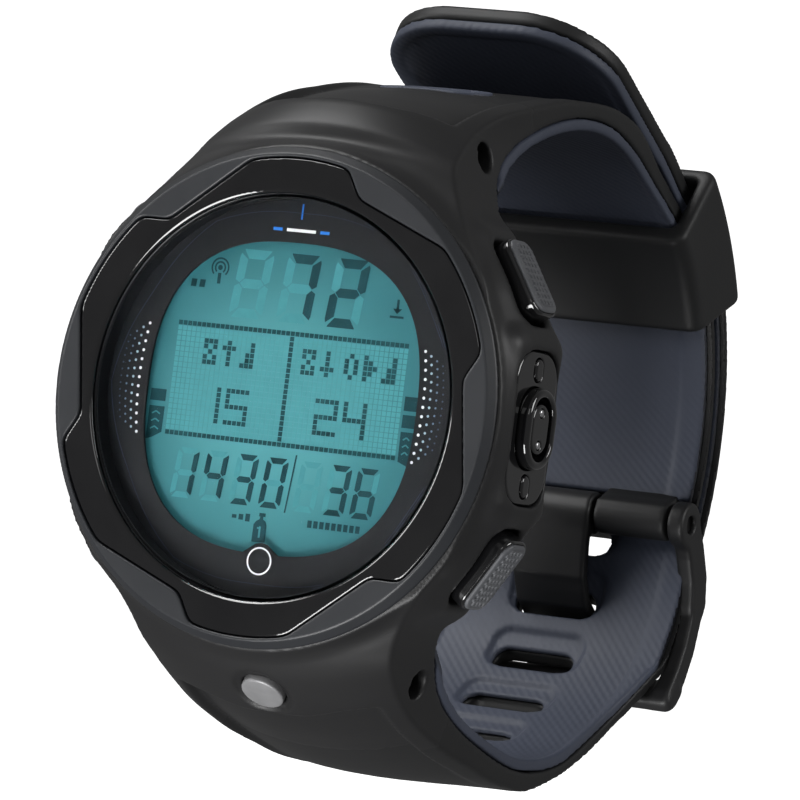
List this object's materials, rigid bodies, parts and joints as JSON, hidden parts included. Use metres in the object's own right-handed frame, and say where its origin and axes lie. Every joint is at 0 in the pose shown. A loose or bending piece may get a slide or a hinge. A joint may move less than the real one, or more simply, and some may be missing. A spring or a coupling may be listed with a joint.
{
  "type": "wrist dive computer",
  "caption": "Round wrist dive computer with push buttons, charge port and a two-layer pin-buckle strap.",
  "frame": {"origin": "middle of the strap loop, where the wearer's wrist goes", "axes": "+X towards 3 o'clock, +Z towards 12 o'clock, face looks along -Y"},
  "size_m": [0.0504, 0.0735, 0.0782],
  "materials": {
    "case": "satin black, fine grain",
    "bezel": "matte charcoal",
    "gloss": "gloss black",
    "lens": "clear",
    "seal": "moulded",
    "mask": "matt printed",
    "lcd": "reflective liquid crystal",
    "backlight": "milky",
    "frame": "moulded",
    "pcb": "solder mask",
    "brass": "drawn",
    "copper": "enamelled wire",
    "port_core": "moulded",
    "steel": "fine brushed",
    "contact": "gold flash",
    "grey_cap": "matt grey",
    "button": "dimpled grey",
    "strap_black": "satin black",
    "strap_slate": "ribbed slate grey",
    "tang": "moulded"
  },
  "bodies": {
    "watch": {"case_body": "case", "bezel_ring": "bezel", "bezel_trim": "gloss", "lens": "lens", "lens_gasket": "seal", "display_mask": "mask", "lcd_panel": "lcd", "backlight_panel": "backlight", "module_frame": "frame", "circuit_board": "pcb", "buzzer": "brass", "antenna_coil": "copper", "pressure_sensor": "steel", "sensor_cover": "grey_cap", "battery": "steel", "battery_spring_contact": "contact", "battery_side_contact": "contact", "battery_hatch": "case", "hatch_o_ring": "seal", "water_contact": "grey_cap", "port_plate": "gloss", "port_ring": "gloss", "port_insulator": "port_core", "port_contacts": "contact", "port_studs": "gloss", "strap_pin_upper": "steel", "strap_pin_lower": "steel", "strap_short_outer": "strap_black", "strap_short_inner": "strap_slate", "strap_inlay": "strap_slate", "strap_long_outer": "strap_black", "strap_long_inner": "strap_slate", "button_spring_upper_right": "steel", "button_spring_lower_right": "steel", "button_spring_upper_left": "steel", "button_spring_lower_left": "steel"},
    "hatch_lock": {"hatch_ring": "case"},
    "keeper": {"keeper": "case"},
    "buckle": {"buckle_frame": "case", "buckle_pin": "steel"},
    "tang": {"buckle_tang": "tang"},
    "button_upper_right": {"button_pad_upper_right": "button", "button_stem_upper_right": "gloss", "button_seal_upper_right": "seal", "button_clip_upper_right": "steel"},
    "button_lower_right": {"button_pad_lower_right": "button", "button_stem_lower_right": "gloss", "button_seal_lower_right": "seal", "button_clip_lower_right": "steel"},
    "button_upper_left": {"button_pad_upper_left": "button", "button_stem_upper_left": "gloss", "button_seal_upper_left": "seal", "button_clip_upper_left": "steel"},
    "button_lower_left": {"button_pad_lower_left": "button", "button_stem_lower_left": "gloss", "button_seal_lower_left": "seal", "button_clip_lower_left": "steel"}
  },
  "joints": [
    {"name": "press_upper_right", "type": "slide", "parent": "watch", "child": "button_upper_right", "axis": [-0.8387, 0, -0.5446], "range_m": [0, 0.001], "stiffness_N_per_m": 900, "springref_m": -0.0012, "deforming": ["button_spring_upper_right"]},
    {"name": "press_lower_right", "type": "slide", "parent": "watch", "child": "button_lower_right", "axis": [-0.8387, 0, 0.5446], "range_m": [0, 0.001], "stiffness_N_per_m": 900, "springref_m": -0.0012, "deforming": ["button_spring_lower_right"]},
    {"name": "press_upper_left", "type": "slide", "parent": "watch", "child": "button_upper_left", "axis": [0.8387, 0, -0.5446], "range_m": [0, 0.001], "stiffness_N_per_m": 900, "springref_m": -0.0012, "deforming": ["button_spring_upper_left"]},
    {"name": "press_lower_left", "type": "slide", "parent": "watch", "child": "button_lower_left", "axis": [0.8387, 0, 0.5446], "range_m": [0, 0.001], "stiffness_N_per_m": 900, "springref_m": -0.0012, "deforming": ["button_spring_lower_left"]},
    {"name": "hatch_unlock", "type": "hinge", "parent": "watch", "child": "hatch_lock", "pos_m": [0, -0.0245, 0], "axis": [0, 1, 0], "range_deg": [0, 49]},
    {"name": "keeper_slide", "type": "hinge", "parent": "watch", "child": "keeper", "pos_m": [0, -0.0027, 0.0025], "axis": [1, 0, 0], "range_deg": [-25, 9]},
    {"name": "buckle_turn", "type": "hinge", "parent": "watch", "child": "buckle", "pos_m": [0, 0.0235, -0.0065], "axis": [1, 0, 0], "range_deg": [-0.5, 1.5]},
    {"name": "tang_turn", "type": "hinge", "parent": "buckle", "child": "tang", "pos_m": [0, 0.0235, -0.0065], "axis": [1, 0, 0], "range_deg": [0, 1.2]}
  ]
}
